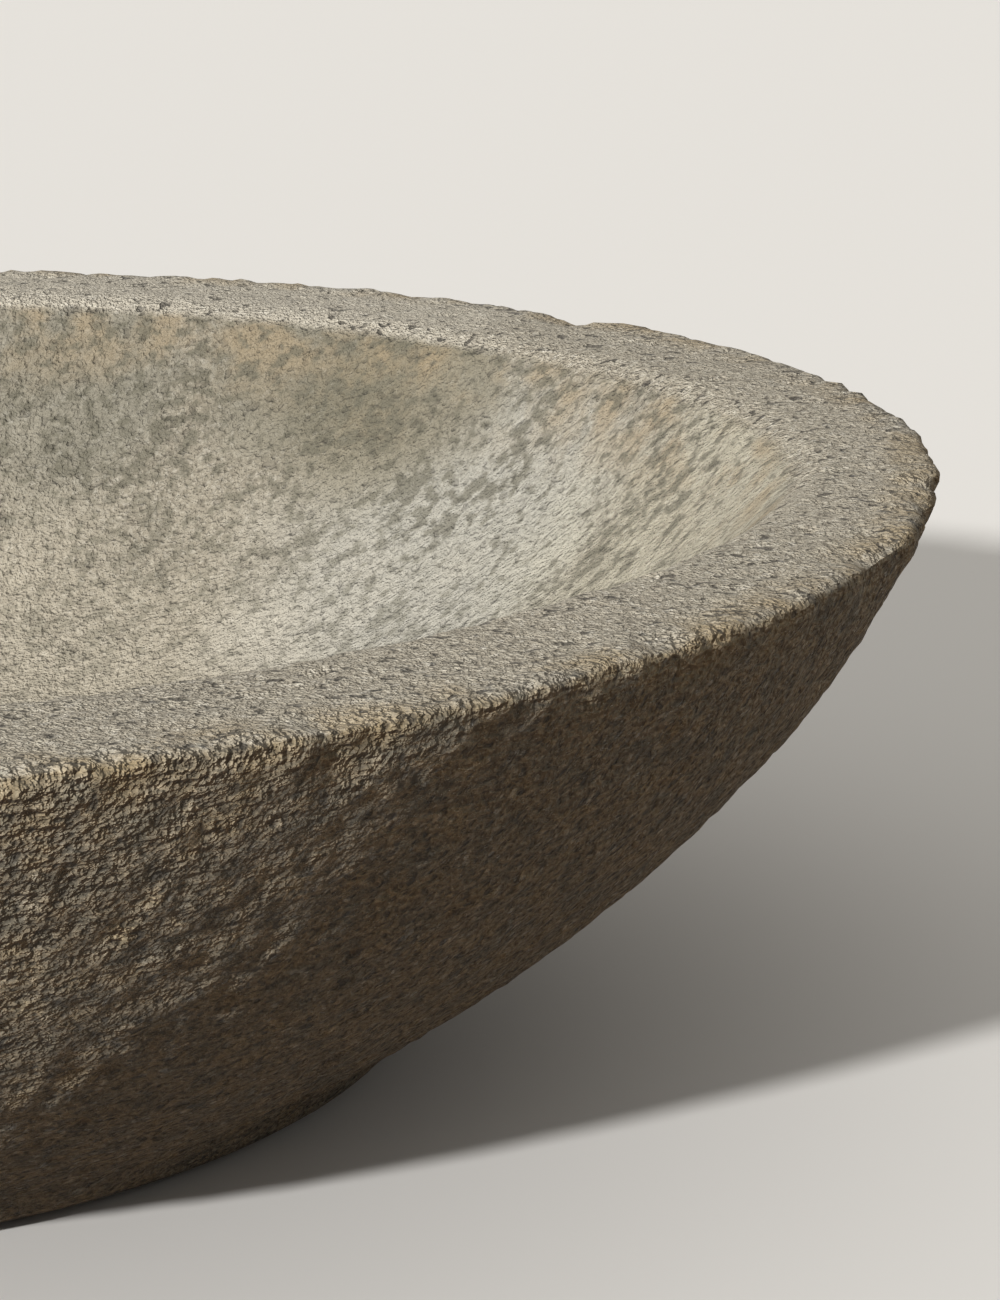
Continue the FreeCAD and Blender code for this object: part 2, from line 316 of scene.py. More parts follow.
def angle_of(vert):
    """Where round the rim a point lies, in degrees."""
    return math.degrees(math.atan2(vert.co.y, vert.co.x))


def swell(angle, swells):
    """How far the listed swells reach at an angle round the rim."""
    total = 0.0
    for centre, spread, depth in swells:
        off = (angle - centre + 180.0) % 360.0 - 180.0
        total += depth * math.exp(-(off / spread) ** 2)
    return total


print(f"the rim gives way by {-min(swell(angle, RIM_FLATS) for angle in range(360)):.1f} mm at most")

# %% [markdown]
# A mould goes out of shape where it is open. So the swells are full at the rim and die out towards the floor,
# and across the lip those of the rim pass over into those of the hollow. Each point moves straight away from
# the axis, which keeps the lip level.

# %% Make the bowl a little out of round
INNER_REACH = 0.9 * LIP_WIDTH  # how far out across the lip the hollow's swells are felt


def out_of_round(vert):
    """How far a point moves away from the axis, in millimetres."""
    height = (vert.co.z - floor_height) / (lip_height - floor_height)
    rim_share = min(1.0, max(0.0, height)) ** 2
    inner_share = rim_share * fade(vert.co.xy.length - lip_radius, INNER_REACH)
    shift = swell(angle_of(vert), RIM_FLATS) * rim_share * (1 - inner_share)
    return shift + swell(angle_of(vert), HOLLOW_SWELLS) * inner_share


shifts = [out_of_round(vert) for vert in bowl.verts]
for vert, shift in zip(bowl.verts, shifts):
    vert.co += Vector((vert.co.x, vert.co.y, 0)).normalized() * shift
bowl.normal_update()
print(f"out of round by {min(shifts):.1f} to {max(shifts):.1f} mm")

# %% [markdown]
# The surface itself comes in layers, as on the real casting. Broad unevenness comes from the mould, lumps from
# the coarse stone in the mix, low courses round the wall from packing it in rows, and pits from trapped air.
# Sculpting them would be slow and never the same again. Each layer here is a noise with its own size and
# height in millimetres, so the same bowl comes out on every run. Grain finer than the mesh is left to the
# finish.

# %% Layers of the stone's relief
MOULD_WAVES = ((60.0, 0.55),)                      # size and height of each noise
LUMPS = ((11.0, 0.2), (5.0, 0.35), (3.4, 0.4))
ROUGHNESS = {"wall": 1.0, "lip": 0.95, "hollow": 0.5}
COURSE_SIZE = Vector((40.0, 40.0, 4.2))            # long round the wall and low
COURSE_HEIGHT = 0.2
PIT_SPACING, PIT_WIDTH, PIT_DEPTH = 11.0, 2.6, 1.0
PIT_SHARE = 0.5                                    # of the cells that hold a pit
PIT_DRAW = 7.3                                     # sends each cell to its own number


def waves(point, layers):
    return sum(height * noise.noise(point / size) for size, height in layers)


def pit(point, share):
    """A round pit near the middle of some of the cells that the stone is divided into."""
    distances, centres = noise.voronoi(point / PIT_SPACING)
    if noise.cell(centres[0] * PIT_DRAW) > share:
        return 0.0
    return -PIT_DEPTH * fade(distances[0] * PIT_SPACING, PIT_WIDTH)


def courses(point):
    stretched = [value / size for value, size in zip(point, COURSE_SIZE)]
    return COURSE_HEIGHT * noise.noise(Vector(stretched))


print("lumps of", ", ".join(f"{size} mm" for size, height in LUMPS), f"and pits {PIT_WIDTH * 2} mm wide")

# %% [markdown]
# The outer edge of the lip has suffered most. It has crumbled in some stretches more than in others, and a few
# larger chips are gone. Modelling each chip would take a cut of its own, so a chip is a narrow swell
# round the rim that goes inwards, and the crumbs are two noises that act near the edge only. What stands out
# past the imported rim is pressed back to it.

# %% Roughen the stone
CRUMBS = ((8.0, 1.0), (3.6, 0.75))
CRUMB_LOSS = 0.05
CRUMB_PATCH = 24.0  # length of a stretch that has crumbled more or less than the next
CRUMB_LEAST, CRUMB_MEAN, CRUMB_SWING = 0.2, 0.5, 1.4
CHIPS = (  # degrees round the rim, spread in degrees, depth in millimetres
    (42.3, 1.6, 2.2),
    (-39.5, 1.2, 0.7),
    (-22.0, 1.8, 1.6),
    (-6.5, 0.9, 1.4),
    (-56.0, 1.4, 1.2),
    (97.0, 1.6, 1.8),
    (141.0, 2.2, 1.6),
    (-101.0, 1.2, 1.5),
    (-137.0, 2.0, 2.0),
)


def relief(vert):
    """How far the surface stands out at a point, in millimetres."""
    point, edge = vert.co, vert[zone["edge"]]
    rough = sum(share * vert[zone[name]] for name, share in ROUGHNESS.items())
    height = waves(point, MOULD_WAVES) + rough * waves(point, LUMPS)
    height += vert[zone["wall"]] * courses(point)
    height += rough * pit(point, PIT_SHARE * (1 - vert[zone["hollow"]]))
    patch = CRUMB_MEAN + CRUMB_SWING * noise.noise(point / CRUMB_PATCH)
    height += edge * max(CRUMB_LEAST, patch) * (waves(point, CRUMBS) - CRUMB_LOSS)
    height -= edge * swell(angle_of(vert), CHIPS)
    return height * (1 - vert[zone["still"]])


heights = [relief(vert) for vert in bowl.verts]
for vert, height in zip(bowl.verts, heights):
    vert.co += vert.normal * height
    reach = vert.co.xy.length
    if reach > rim_radius:
        vert.co.xy *= rim_radius / reach
    vert.co.z = min(vert.co.z, rim_height)
print(f"relief from {min(heights):.2f} to {max(heights):.2f} mm")

# %% [markdown]
# The underside is a flat face with a round socket for each pad and the drain hole in the middle. Cutting the
# sockets with a boolean would leave slivers. A fill between rings of edges makes a face with holes in one
# step instead. The rings of the sockets are then extruded up to the top of the pads and closed.

# %% Close the underside and sink the sockets
PAD_GAP = 0.3
SOCKET_STEPS = 48
ground_rings = [edge for edge in bowl.edges if edge.is_boundary]
sockets = []
for node in sorted(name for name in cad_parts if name.startswith("foot_pad")):
    low, high = [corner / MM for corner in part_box(node)]
    centre = (low + high) / 2
    centre.z = underside
    ring = bmesh.ops.create_circle(bowl, cap_ends=False, segments=SOCKET_STEPS,
                                   radius=(high.x - low.x) / 2 + PAD_GAP,
                                   matrix=Matrix.Translation(centre))
    edges = list(dict.fromkeys(edge for vert in ring["verts"] for edge in vert.link_edges))
    sockets.append((edges, high.z))
    ground_rings += edges
bmesh.ops.triangle_fill(bowl, use_beauty=True, edges=ground_rings, normal=(0, 0, -1))
for edges, socket_top in sockets:
    raised = bmesh.ops.extrude_edge_only(bowl, edges=edges)["geom"]
    verts = [item for item in raised if isinstance(item, bmesh.types.BMVert)]
    bmesh.ops.translate(bowl, verts=verts, vec=(0, 0, socket_top - underside))
    ring = [item for item in raised if isinstance(item, bmesh.types.BMEdge) and item.is_boundary]
    bmesh.ops.contextual_create(bowl, geom=ring)
bmesh.ops.recalc_face_normals(bowl, faces=bowl.faces)
print(len(sockets), "sockets, open edges left:",
      sum(edge.is_boundary or edge.is_wire for edge in bowl.edges))

# %% [markdown]
# The finished mesh takes the place of the plain casting. The new bowl rides on the same body, and the imported
# casting is hidden and stays behind it for collision only. Faces are shaded smooth, apart from corners that are
# really sharp, such as those of the sockets.

# %% Put the bowl in its place
SHARP_ANGLE = math.radians(50)
for face in bowl.faces:
    face.smooth = True
bmesh.ops.scale(bowl, vec=(MM, MM, MM), verts=bowl.verts)
mesh = bpy.data.meshes.new("weathered_stone_bowl")
bowl.to_mesh(mesh)
bowl.free()
mesh.set_sharp_from_angle(angle=SHARP_ANGLE)
stone_bowl = bpy.data.objects.new("weathered_stone_bowl", mesh)
bpy.context.scene.collection.objects.link(stone_bowl)
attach(stone_bowl, "bowl")
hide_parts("stone_bowl")
triangles = sum(len(face.vertices) - 2 for face in mesh.polygons)
print(f"weathered_stone_bowl: {triangles} triangles")

# %% [markdown]
# Every finish is a tree of nodes. They could be clicked together by hand, but a script can be read and run
# again. One small function adds a node, sets it up and links it, and another turns a colour as it is read off
# a picture into the linear numbers that the renderer works with.

# %% Helpers for finishes
# A Mix node names its sockets for numbers and for colours alike, so those for colours go by their place.
SHARE, UNDER, OVER, MIXED = 0, 6, 7, 2


def colour(code):
    """The linear colour of an sRGB hex code."""
    shares = [int(code[place:place + 2], 16) / 255 for place in (1, 3, 5)]
    linear = [share / 12.92 if share <= 0.04045 else ((share + 0.055) / 1.055) ** 2.4
              for share in shares]
    return linear + [1.0]


def per_mm(size):
    """The texture scale, in metres, that gives a pattern of this size in millimetres."""
    return 1 / (size * MM)


def add(tree, kind, feeds=None, **settings):
    """Adds a node. Feeds are its inputs: a socket is linked, anything else is set."""
    made = tree.nodes.new(kind)
    for name, value in settings.items():
        setattr(made, name, value)
    for name, value in (feeds or {}).items():
        if isinstance(value, bpy.types.NodeSocket):
            tree.links.new(value, made.inputs[name])
        else:
            made.inputs[name].default_value = value
    return made


def new_finish(name):
    finish = bpy.data.materials.new(name)
    finish.use_nodes = True
    tree = finish.node_tree
    return finish, tree, tree.nodes["Principled BSDF"]


print("a mid grey of #808080 is", round(colour("#808080")[0], 3), "in linear light")

# %% [markdown]
# Cast stone is crushed stone and sand in cement, tamped into a mould. Its smooth skin has weathered off here,
# so the eye meets loose sand and crumbs with dark gaps between them, and no gloss. A photograph of stone would
# carry its own light and repeat. Noises give it instead, each with the size of one thing in the mix: sand,
# crumbs, lumps, and the same stretched flat for the rows in which the mix was packed. Grit is made of cells,
# because crushed stone has corners. Every layer counts only where its zone says so.

# %% Cast stone: the layers of the mix
SAND_MM = 0.6   # real sand is about half as coarse, but wouldn't show in the render
GRIT_MM = 1.5
CRUMB_MM = 1.35
LUMP_MM = 4.5
ROW_MM = 1.7
ROW_STRETCH = 0.14  # a row is about seven times as long as it is high
RAGGED = 0.6
stone, tree, shader = new_finish("cast_stone_weathered")
place = add(tree, "ShaderNodeTexCoord").outputs["Object"]
weight = {name: add(tree, "ShaderNodeAttribute", attribute_name=name).outputs["Fac"]
          for name in ZONES if name != "still"}
flat = add(tree, "ShaderNodeMapping", {"Vector": place, "Scale": (ROW_STRETCH, ROW_STRETCH, 1.0)})
layers = {}
for name, size, detail, at in (("sand", SAND_MM, 1.0, place), ("crumbs", CRUMB_MM, 1.5, place),
                               ("lumps", LUMP_MM, 1.0, place),
                               ("rows", ROW_MM, 1.5, flat.outputs["Vector"])):
    feeds = {"Vector": at, "Scale": per_mm(size), "Detail": detail, "Roughness": RAGGED}
    layers[name] = add(tree, "ShaderNodeTexNoise", feeds).outputs["Fac"]
feeds = {"Vector": place, "Scale": per_mm(GRIT_MM)}
layers["grit"] = add(tree, "ShaderNodeTexVoronoi", feeds).outputs["Distance"]
print("layers of the mix:", ", ".join(layers))

# %% [markdown]
# Air that was caught in the mix leaves pores, small dark holes with a clear rim. They could be cut into the
# mesh, but there are thousands. Where one more noise is lowest there is a pore, so they differ in size and
# shape. The layers and the pores are then added up to one height, which a Bump node turns into light and
# shade.

# %% Cast stone: pores and relief
PORE_MM = 2.4
PORE_RIM, PORE_FLOOR = 0.37, 0.31
PORE_DEPTH = -1.4
MIDDLE = 0.5
# Depths are in millimetres for the whole range of a noise. Most of it stays within a fifth of that range, so
# crumbs of 5 mm come out about 1 mm high.
DEPTHS = (("sand", "sandy", 1.8), ("grit", "coarse", -1.3), ("crumbs", "coarse", 5.0),
          ("lumps", "coarse", 4.5), ("rows", "wall", 6.0))
feeds = {"Vector": place, "Scale": per_mm(PORE_MM), "Detail": 1.5}
pore_field = add(tree, "ShaderNodeTexNoise", feeds).outputs["Fac"]
feeds = {"Value": pore_field, "From Min": PORE_RIM, "From Max": PORE_FLOOR}
holes = add(tree, "ShaderNodeMapRange", feeds).outputs["Result"]
feeds = {0: holes, 1: weight["pitted"]}
pores = add(tree, "ShaderNodeMath", feeds, operation="MULTIPLY").outputs[0]
height = 0.0
for name, where, depth in DEPTHS:
    feeds = {0: layers[name], 1: MIDDLE}
    level = add(tree, "ShaderNodeMath", feeds, operation="SUBTRACT").outputs[0]
    feeds = {0: level, 1: weight[where]}
    level = add(tree, "ShaderNodeMath", feeds, operation="MULTIPLY").outputs[0]
    feeds = {0: level, 1: depth, 2: height}
    height = add(tree, "ShaderNodeMath", feeds, operation="MULTIPLY_ADD").outputs[0]
feeds = {0: pores, 1: PORE_DEPTH, 2: height}
height = add(tree, "ShaderNodeMath", feeds, operation="MULTIPLY_ADD").outputs[0]
bump = add(tree, "ShaderNodeBump", {"Height": height, "Distance": MM, "Strength": 1.0})
tree.links.new(bump.outputs["Normal"], shader.inputs["Normal"])
print("relief of", len(DEPTHS), "layers and pores of", PORE_MM, "mm")

# %% [markdown]
# Up close, cast stone has no colour of its own: it is pale cement with dark gaps, and grains from near black
# to cream. One flat grey would look like plaster. So three patterns are turned into colours by ramps: the
# cement between the grains, the single grains, each with a colour of its own cell, and broad clumps that are
# greyer or warmer and show on the wall, where rain hasn't washed the skin.

# %% Cast stone: the colours of the mix
GAP_MM, GRAIN_MM, CLUMP_MM = 1.2, 0.9, 5.5
feeds = {"Vector": place, "Scale": per_mm(GAP_MM), "Detail": 3.0, "Roughness": 0.7}
gaps = add(tree, "ShaderNodeTexNoise", feeds).outputs["Fac"]
grains = add(tree, "ShaderNodeTexVoronoi", {"Vector": place, "Scale": per_mm(GRAIN_MM)})
split = add(tree, "ShaderNodeSeparateColor", {"Color": grains.outputs["Color"]})
grain_pick = split.outputs["Red"]
feeds = {"Vector": place, "Scale": per_mm(CLUMP_MM), "Detail": 2.0}
clumps = add(tree, "ShaderNodeTexNoise", feeds).outputs["Fac"]
RAMPS = {
    "cement": (gaps, (0.33, "#6b6457"), (0.43, "#a29988"), (0.54, "#bdb4a1"), (0.66, "#dbd4c2")),
    "grains": (grain_pick, (0.0, "#6c665b"), (0.2, "#968d7d"), (0.8, "#bcb29e"), (1.0, "#ddd6c7")),
    "clumps": (clumps, (0.36, "#d4d1c8"), (0.5, "#f6eee0"), (0.66, "#fff3dc")),
}
tones = {}
for name, (pattern, first, *between, last) in RAMPS.items():
    ramp = add(tree, "ShaderNodeValToRGB", {"Fac": pattern})
    stops = ramp.color_ramp.elements
    for stop, (position, code) in zip(stops, (first, last)):
        stop.position, stop.color = position, colour(code)
    for position, code in between:
        stops.new(position).color = colour(code)
    tones[name] = ramp.outputs["Color"]
    print(f"{name}: {len(stops)} tones")

# %% [markdown]
# These are laid over each other as they lie in the stone: grains in the cement, then the clumps. In the hollow
# fine silt has filled the surface, so there half of the sand's contrast gives way to one plain tone. On the
# wall the deep gaps between the crumbs are painted darker, a painted shade in the low places that the bump
# alone doesn't darken enough.

# %% Cast stone: the mix of the tones
GRAIN_SHARE = 0.35
SILT = "#6a6354"
# painted shade: the low places between the crumbs on the wall are darkened in colour
GAP_SHADE_PAINT, GAP_SHARE = "#38322a", 0.58
GAP_RIM, GAP_FLOOR = 0.5, 0.36
feeds = {SHARE: GRAIN_SHARE, UNDER: tones["cement"], OVER: tones["grains"]}
tone = add(tree, "ShaderNodeMix", feeds, data_type="RGBA").outputs[MIXED]
feeds = {SHARE: weight["sandy"], UNDER: colour(SILT), OVER: tone}
tone = add(tree, "ShaderNodeMix", feeds, data_type="RGBA").outputs[MIXED]
feeds = {SHARE: weight["wall"], UNDER: tone, OVER: tones["clumps"]}
tone = add(tree, "ShaderNodeMix", feeds, data_type="RGBA", blend_type="MULTIPLY").outputs[MIXED]
feeds = {"Value": layers["crumbs"], "From Min": GAP_RIM, "From Max": GAP_FLOOR, "To Max": GAP_SHARE}
between_crumbs = add(tree, "ShaderNodeMapRange", feeds).outputs["Result"]
feeds = {0: between_crumbs, 1: weight["wall"]}
painted_gap_shade = add(tree, "ShaderNodeMath", feeds, operation="MULTIPLY").outputs[0]
coats = [(painted_gap_shade, GAP_SHADE_PAINT)]
print("tones mixed, and dirt in the gaps is the first of the coats that lie over them")

# %% [markdown]
# Years of wet soil have left stains in the hollow, some brown, some pale with lime. The far side of the lip is
# painted paler, a painted highlight for the light that it catches from behind. A painted map would need the
# surface unrolled. Each stain, and the highlight too, is a soft ball of colour that the surface cuts through,
# and a cloud pattern makes its outline ragged.

# %% Cast stone: stains, and a painted highlight on the lip
STAINS_AND_HIGHLIGHT = (  # zone, centre and reach in millimetres, colour, strength
    ("hollow", (122, 76, 66), 58, "#bfbeb5", 0.42),
    ("hollow", (117, 119, 88), 34, "#70674f", 0.6),
    ("hollow", (98, 141, 94), 32, "#686556", 0.55),
    ("hollow", (49, 155, 82), 34, "#716f62", 0.5),
    ("hollow", (168, 14, 82), 60, "#c2bba6", 0.5),
    ("hollow", (20, 60, 32), 110, "#c0b6a2", 0.4),
    ("hollow", (-140, 60, 75), 40, "#7b7565", 0.45),
    ("hollow", (-95, -80, 60), 45, "#c6c3b8", 0.3),
    ("hollow", (40, -150, 85), 35, "#7b7260", 0.4),
    # painted highlight: the far side of the lip is made paler for the light that it catches from behind
    ("lip", (60, 185, 99), 130, "#e0d9c9", 0.26),
)
CLOUD_MM = 26.0
STAIN_RIM, STAIN_CORE = 0.55, -0.1  # in shares of the reach, after the cloud has eaten into it
feeds = {"Vector": place, "Scale": per_mm(CLOUD_MM), "Detail": 3.0}
clouds = add(tree, "ShaderNodeTexNoise", feeds).outputs["Fac"]
for zone_name, centre, reach, code, strength in STAINS_AND_HIGHLIGHT:
    feeds = {0: place, 1: [value * MM for value in centre]}
    away = add(tree, "ShaderNodeVectorMath", feeds, operation="DISTANCE").outputs["Value"]
    feeds = {0: clouds, 1: -reach * MM, 2: away}
    ragged = add(tree, "ShaderNodeMath", feeds, operation="MULTIPLY_ADD").outputs[0]
    feeds = {"Value": ragged, "From Min": STAIN_RIM * reach * MM, "From Max": STAIN_CORE * reach * MM,
             "To Max": strength}
    ball = add(tree, "ShaderNodeMapRange", feeds, interpolation_type="SMOOTHSTEP").outputs["Result"]
    feeds = {0: ball, 1: weight[zone_name]}
    coats.append((add(tree, "ShaderNodeMath", feeds, operation="MULTIPLY").outputs[0], code))
print(len(STAINS_AND_HIGHLIGHT), "stains")

# %% [markdown]
# Two more things grow and wash over the stone everywhere. Grey-green specks of algae sit in the hollow, more
# of them higher up, where it stays damp behind the soil, and in some clouds more than in others. Along both
# corners of the lip, rain has washed out the cement and left a broken tan line.

# %% Cast stone: algae and washed corners
ALGAE_MM, WASH_MM = 3.2, 12.0
ALGAE_CLOUDS = 0.45
ALGAE_RIM, ALGAE_CORE = 0.735, 0.61
DRY_HEIGHT, DAMP_HEIGHT = 30.0, 75.0
DRY_SHARE, DAMP_SHARE = 0.25, 0.74
WASH_RIM, WASH_CORE, WASH_SHARE = 0.42, 0.6, 0.62
feeds = {"Vector": place, "Scale": per_mm(ALGAE_MM), "Detail": 4.0}
algae = add(tree, "ShaderNodeTexNoise", feeds).outputs["Fac"]
feeds = {0: clouds, 1: ALGAE_CLOUDS, 2: algae}
patchy = add(tree, "ShaderNodeMath", feeds, operation="MULTIPLY_ADD").outputs[0]
above = add(tree, "ShaderNodeSeparateXYZ", {"Vector": place}).outputs["Z"]
feeds = {"Value": above, "From Min": DRY_HEIGHT * MM, "From Max": DAMP_HEIGHT * MM,
         "To Min": DRY_SHARE, "To Max": DAMP_SHARE}
dampness = add(tree, "ShaderNodeMapRange", feeds).outputs["Result"]
feeds = {"Value": patchy, "From Min": ALGAE_RIM, "From Max": ALGAE_CORE, "To Max": dampness}
specks = add(tree, "ShaderNodeMapRange", feeds).outputs["Result"]
feeds = {"Vector": place, "Scale": per_mm(WASH_MM), "Detail": 4.0}
washing = add(tree, "ShaderNodeTexNoise", feeds).outputs["Fac"]
feeds = {"Value": washing, "From Min": WASH_RIM, "From Max": WASH_CORE, "To Max": WASH_SHARE}
washed = add(tree, "ShaderNodeMapRange", feeds).outputs["Result"]
for spread, zone_name, code in ((washed, "edge", "#ae9871"), (washed, "brink", "#9f8d70"),
                                (specks, "hollow", "#656152")):
    feeds = {0: spread, 1: weight[zone_name]}
    coats.append((add(tree, "ShaderNodeMath", feeds, operation="MULTIPLY").outputs[0], code))
print(len(coats), "coats so far")

# %% [markdown]
# At last the coats are laid over the mix one by one, the painted shade of the pores on top, which darkens the
# holes that the bump only tilts. Weathered cement is dull all over, but about one grain in ten is a crystal that
# still catches the light, and that small glint is what tells stone from plaster.

# %% Cast stone: lay the coats
# painted shade: the pores are darkened in colour, as the bump only tilts them and casts no shade into them
PORE_SHADE_PAINT = "#3b362f"
GLINT_FROM = 0.9
DULL_ROUGHNESS, GLINT_ROUGHNESS = 0.92, 0.55
coats.append((pores, PORE_SHADE_PAINT))
for share, code in coats:
    feeds = {SHARE: share, UNDER: tone, OVER: colour(code)}
    tone = add(tree, "ShaderNodeMix", feeds, data_type="RGBA").outputs[MIXED]
tree.links.new(tone, shader.inputs["Base Color"])
feeds = {"Value": grain_pick, "From Min": GLINT_FROM, "From Max": 1.0,
         "To Min": DULL_ROUGHNESS, "To Max": GLINT_ROUGHNESS}
dull = add(tree, "ShaderNodeMapRange", feeds).outputs["Result"]
tree.links.new(dull, shader.inputs["Roughness"])
stone_bowl.data.materials.append(stone)
print("cast stone:", len(tree.nodes), "nodes and", len(coats), "coats")

# %% [markdown]
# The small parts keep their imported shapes, which are right, and only get finishes. The sleeve is moulded
# polypropylene, the plug moulded rubber, and the pads are cut from rubber sheet. Each could have a tree of its
# own, but all three are one idea, a dark body under a patchy pale film that dulls it, so one function makes
# them from their own colours and sizes.

# %% A dark finish under a film
FILM_DETAIL, GRAIN_DETAIL = 4.0, 2.0
FILM_RIM, FILM_CORE = 0.4, 0.7
FILM_ROUGHNESS = 0.9


def filmed(name, body, film, film_mm, film_share, roughness, grain_mm, grain_depth):
    """A dark finish under a pale film. Where the film lies, the surface is duller."""
    finish, tree, shader = new_finish(name)
    place = add(tree, "ShaderNodeTexCoord").outputs["Object"]
    feeds = {"Vector": place, "Scale": per_mm(film_mm), "Detail": FILM_DETAIL}
    cloud = add(tree, "ShaderNodeTexNoise", feeds).outputs["Fac"]
    feeds = {"Value": cloud, "From Min": FILM_RIM, "From Max": FILM_CORE, "To Max": film_share}
    patch = add(tree, "ShaderNodeMapRange", feeds).outputs["Result"]
    feeds = {SHARE: patch, UNDER: colour(body), OVER: colour(film)}
    tone = add(tree, "ShaderNodeMix", feeds, data_type="RGBA").outputs[MIXED]
    tree.links.new(tone, shader.inputs["Base Color"])
    feeds = {"Value": patch, "From Max": film_share, "To Min": roughness, "To Max": FILM_ROUGHNESS}
    dull = add(tree, "ShaderNodeMapRange", feeds).outputs["Result"]
    tree.links.new(dull, shader.inputs["Roughness"])
    feeds = {"Vector": place, "Scale": per_mm(grain_mm), "Detail": GRAIN_DETAIL}
    grain = add(tree, "ShaderNodeTexNoise", feeds).outputs["Fac"]
    bump = add(tree, "ShaderNodeBump", {"Height": grain, "Distance": grain_depth * MM})
    tree.links.new(bump.outputs["Normal"], shader.inputs["Normal"])
    return finish


print("film lies where its pattern is over", FILM_RIM)

# %% [markdown]
# What tells the three apart is how they were made and what time has done to them. Plastic from a polished mould
# keeps a soft shine under rings of lime, rubber from a mould turns grey as it sweats out its wax, and sheet
# that was rolled and cut was dull from the start and holds dust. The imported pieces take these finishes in
# place of their plain ones, and their shapes aren't touched.

# %% Moulded plastic, moulded rubber and rubber sheet
# The grain that a mould leaves is about 0.1 mm. That is too fine to show, so all three are drawn coarser.
# Polypropylene: an even dark grey with a soft shine, and rings of lime where water stood.
sleeve_plastic = filmed("moulded_polypropylene", body="#4a4946", film="#a39e92", film_mm=5.0,
                        film_share=0.55, roughness=0.45, grain_mm=0.7, grain_depth=0.15)
# Moulded rubber: nearly black, with the grey bloom that old rubber sweats out.
plug_rubber = filmed("moulded_rubber", body="#272624", film="#6a665f", film_mm=8.0,
                     film_share=0.45, roughness=0.55, grain_mm=0.9, grain_depth=0.2)
# Rubber sheet: flat and dull, with dust in it.
pad_rubber = filmed("die_cut_rubber_sheet", body="#33312e", film="#8d867a", film_mm=6.0,
                    film_share=0.5, roughness=0.7, grain_mm=0.8, grain_depth=0.25)
finishes = {"drain_sleeve": sleeve_plastic, "drain_plug": plug_rubber}
for name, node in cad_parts.items():
    if name == "stone_bowl":
        continue
    node.data.materials.clear()
    node.data.materials.append(finishes.get(name, pad_rubber))
    print(f"{name}: {node.data.materials[0].name}")

# %% [markdown]
# The bowl stands on a plain pale floor, large enough that its far side is the horizon. A white floor throws so
# much light back that the overhang of the wall would lose its shade. So the floor is pale to the eye and in
# reflections, and darker and warmer for the light that it throws back, which a Light Path node can tell apart.

# %% Floor
FLOOR_SIZE = 6.0  # metres from the middle to each side
FLOOR_SEEN, FLOOR_BOUNCE = "#e4e1dc", "#5d4531"
FLOOR_ROUGHNESS = 0.9


def seen_share(tree):
    """One for rays that the eye follows, straight or by a reflection, and nothing for lighting rays."""
    rays = add(tree, "ShaderNodeLightPath")
    seen = rays.outputs["Is Camera Ray"]
    for name in ("Is Glossy Ray", "Is Transmission Ray"):
        feeds = {0: seen, 1: rays.outputs[name]}
        seen = add(tree, "ShaderNodeMath", feeds, operation="MAXIMUM").outputs[0]
    return seen


floor_shape = bmesh.new()
bmesh.ops.create_grid(floor_shape, x_segments=1, y_segments=1, size=FLOOR_SIZE)
mesh = bpy.data.meshes.new("studio_floor")
floor_shape.to_mesh(mesh)
floor_shape.free()
floor = bpy.data.objects.new("studio_floor", mesh)
bpy.context.scene.collection.objects.link(floor)
floor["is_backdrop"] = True
floor_finish, tree, shader = new_finish("pale_floor")
feeds = {SHARE: seen_share(tree), UNDER: colour(FLOOR_BOUNCE), OVER: colour(FLOOR_SEEN)}
tone = add(tree, "ShaderNodeMix", feeds, data_type="RGBA").outputs[MIXED]
tree.links.new(tone, shader.inputs["Base Color"])
shader.inputs["Roughness"].default_value = FLOOR_ROUGHNESS
floor.data.materials.append(floor_finish)
print(f"floor of {2 * FLOOR_SIZE:.0f} m, at the height of the pads' underside")

# %% [markdown]
# Rough stone needs light that grazes it. A large soft lamp overhead would hide every grain. One low lamp from
# the front left, soft at the edge of its shadows, rakes the near wall and shows its crumbs. A second lamp
# would flatten them again.

# %% Lamp
LAMP_DIRECTION = Vector((-0.55, -0.75, 0.37)).normalized()
LAMP_LEVEL = 1.36
LAMP_SPREAD = math.radians(3)
lamp_data = bpy.data.lights.new("low_lamp", "SUN")
lamp_data.energy = LAMP_LEVEL * math.pi
lamp_data.angle = LAMP_SPREAD
lamp = bpy.data.objects.new("low_lamp", lamp_data)
lamp.rotation_mode = "QUATERNION"
lamp.rotation_quaternion = LAMP_DIRECTION.to_track_quat("Z", "Y")
bpy.context.scene.collection.objects.link(lamp)
print(f"lamp of {lamp_data.energy:.2f} W per square metre")

# %% [markdown]
# The rest of the light is an even glow, which a world of nodes gives without more lamps: from above, as from a
# pale ceiling, for the lip and the hollow, from the back a little less, and from the front next to nothing, so
# that the wall stays dark under its overhang. The eye sees the studio behind as plain white all the same.

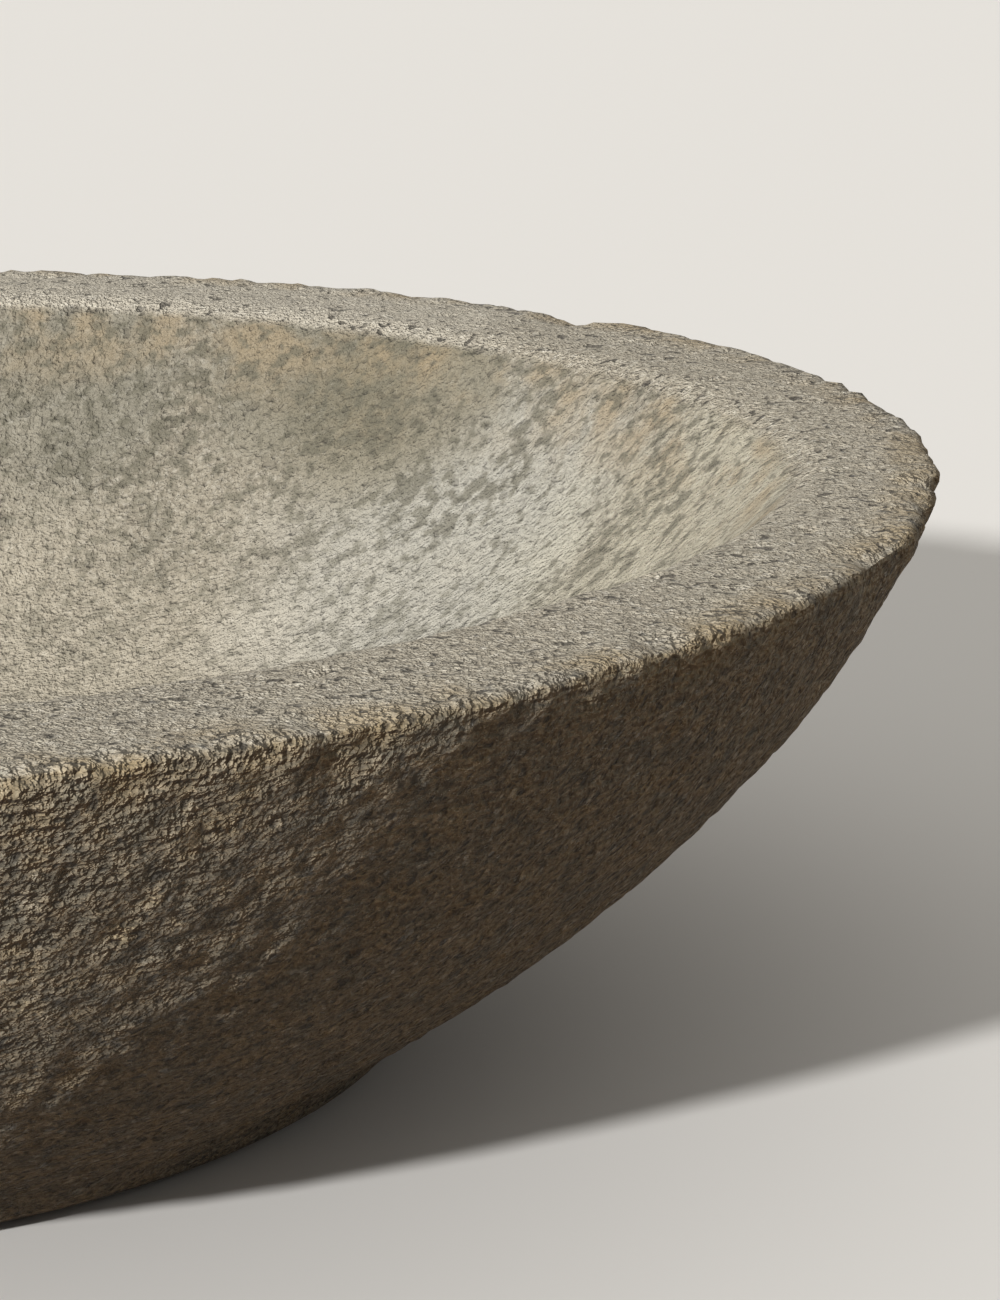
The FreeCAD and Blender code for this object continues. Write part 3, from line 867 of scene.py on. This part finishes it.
# %% Glow of the studio
STUDIO = "#f4f2ee"
CEILING_LEVEL, BACK_LEVEL, FRONT_LEVEL = 0.7, 0.5, 0.03
FRONT_END = -0.2  # how far towards the front the glow from the back still reaches
world = bpy.data.worlds.new("studio")
bpy.context.scene.world = world
world.use_nodes = True
tree = world.node_tree
background = tree.nodes["Background"]
background.inputs["Color"].default_value = colour(STUDIO)
way = add(tree, "ShaderNodeTexCoord").outputs["Generated"]
split = add(tree, "ShaderNodeSeparateXYZ", {"Vector": way})
feeds = {"Value": split.outputs["Y"], "From Min": FRONT_END, "To Min": FRONT_LEVEL, "To Max": BACK_LEVEL}
horizon = add(tree, "ShaderNodeMapRange", feeds).outputs["Result"]
feeds = {"Value": split.outputs["Z"], "To Min": horizon, "To Max": CEILING_LEVEL}
glow = add(tree, "ShaderNodeMapRange", feeds).outputs["Result"]
feeds = {"Factor": seen_share(tree), "A": glow, "B": 1.0}
level = add(tree, "ShaderNodeMix", feeds).outputs["Result"]
tree.links.new(level, background.inputs["Strength"])
print(f"glow from {FRONT_LEVEL} in front to {BACK_LEVEL} behind and {CEILING_LEVEL} above")

# %% [markdown]
# The camera stands where the photograph was taken: in front of the right side of the bowl, a little above the
# rim, looking straight ahead and down. A camera could be aimed by eye until it looks right. This one was worked
# out from the curve of the rim and the line of the foot, so that the same bowl fills the same frame.
# Everything is in focus, and colours are shown as they are, by the Standard view.

# %% Camera
CAMERA_PLACE = Vector((0.1355, -0.7176, 0.2456))
CAMERA_DOWN = math.radians(14.08)
CAMERA_ROLL = math.radians(-0.56)
CAMERA_LENS, CAMERA_SENSOR = 119.1, 36.0
NEAREST_SEEN = 0.01
camera_data = bpy.data.cameras.new("camera")
camera_data.lens = CAMERA_LENS
camera_data.sensor_width = CAMERA_SENSOR
camera_data.clip_start = NEAREST_SEEN
camera = bpy.data.objects.new("camera", camera_data)
level_view = Matrix.Rotation(math.pi / 2 - CAMERA_DOWN, 4, "X")
rolled = Matrix.Rotation(CAMERA_ROLL, 4, "Z")
camera.matrix_world = Matrix.Translation(CAMERA_PLACE) @ level_view @ rolled
bpy.context.scene.collection.objects.link(camera)
bpy.context.scene.camera = camera
bpy.context.scene.view_settings.view_transform = "Standard"
print(f"camera {CAMERA_PLACE.length:.2f} m from the middle of the foot, lens {CAMERA_LENS} mm")

# %% [markdown]
# Last, the box of the dressed bowl is printed beside that of the imported model. Looking at both would not show a
# millimetre, and the numbers do: the second box has to lie inside the first.

# %% Print the boxes
visual_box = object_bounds()
for name, box in (("packed", cad_box), ("dressed", visual_box)):
    print(f"{name} box in mm:", [[round(value / MM, 1) for value in corner] for corner in box])
